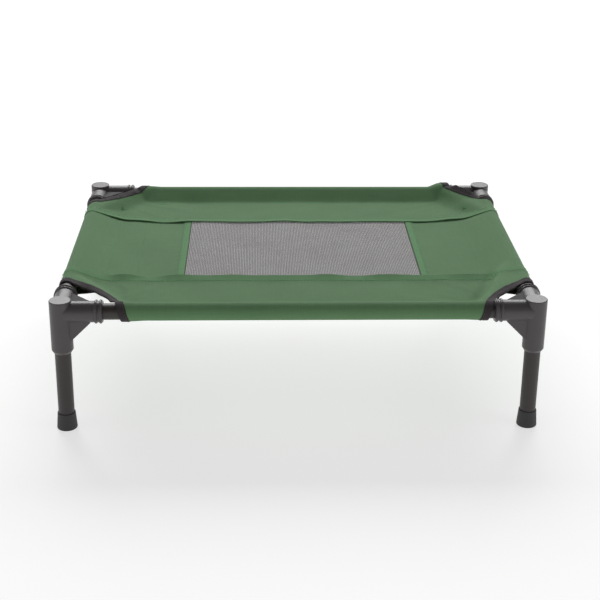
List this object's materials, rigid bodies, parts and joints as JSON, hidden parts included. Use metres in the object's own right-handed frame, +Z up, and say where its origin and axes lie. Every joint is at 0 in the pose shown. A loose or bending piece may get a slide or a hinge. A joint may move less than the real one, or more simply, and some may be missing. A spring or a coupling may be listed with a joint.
{
  "type": "raised pet cot",
  "caption": "Raised pet cot: a push-together tube frame on rubber-footed legs, with a stretched cloth cover that has a see-through mesh middle.",
  "frame": {"origin": "on the floor, under the middle of the cot", "axes": "+X along the long side to the right, +Y along the short side to the back, +Z up"},
  "size_m": [0.6222, 0.4698, 0.1778],
  "materials": {
    "connector": "semi-gloss moulded",
    "tube": "satin powder coat",
    "foot": "matte moulded",
    "cloth": "plain-woven polyester",
    "mesh": "open polyester mesh",
    "binding": "folded woven tape"
  },
  "bodies": {
    "frame": {"front_left_connector": "connector", "front_right_connector": "connector", "back_left_connector": "connector", "back_right_connector": "connector", "front_rail": "tube", "back_rail": "tube", "left_rail": "tube", "right_rail": "tube", "front_strip": "cloth", "back_strip": "cloth", "left_panel": "cloth", "right_panel": "cloth", "mesh_panel": "mesh", "front_left_binding": "binding", "front_right_binding": "binding", "back_left_binding": "binding", "back_right_binding": "binding"},
    "front_left_leg_unit": {"front_left_leg": "tube", "front_left_foot": "foot"},
    "front_right_leg_unit": {"front_right_leg": "tube", "front_right_foot": "foot"},
    "back_left_leg_unit": {"back_left_leg": "tube", "back_left_foot": "foot"},
    "back_right_leg_unit": {"back_right_leg": "tube", "back_right_foot": "foot"}
  },
  "joints": [
    {"name": "front_left_leg_pull", "type": "slide", "parent": "frame", "child": "front_left_leg_unit", "axis": [0, 0, -1], "range_m": [0, 0.045]},
    {"name": "front_right_leg_pull", "type": "slide", "parent": "frame", "child": "front_right_leg_unit", "axis": [0, 0, -1], "range_m": [0, 0.045]},
    {"name": "back_left_leg_pull", "type": "slide", "parent": "frame", "child": "back_left_leg_unit", "axis": [0, 0, -1], "range_m": [0, 0.045]},
    {"name": "back_right_leg_pull", "type": "slide", "parent": "frame", "child": "back_right_leg_unit", "axis": [0, 0, -1], "range_m": [0, 0.045]}
  ]
}
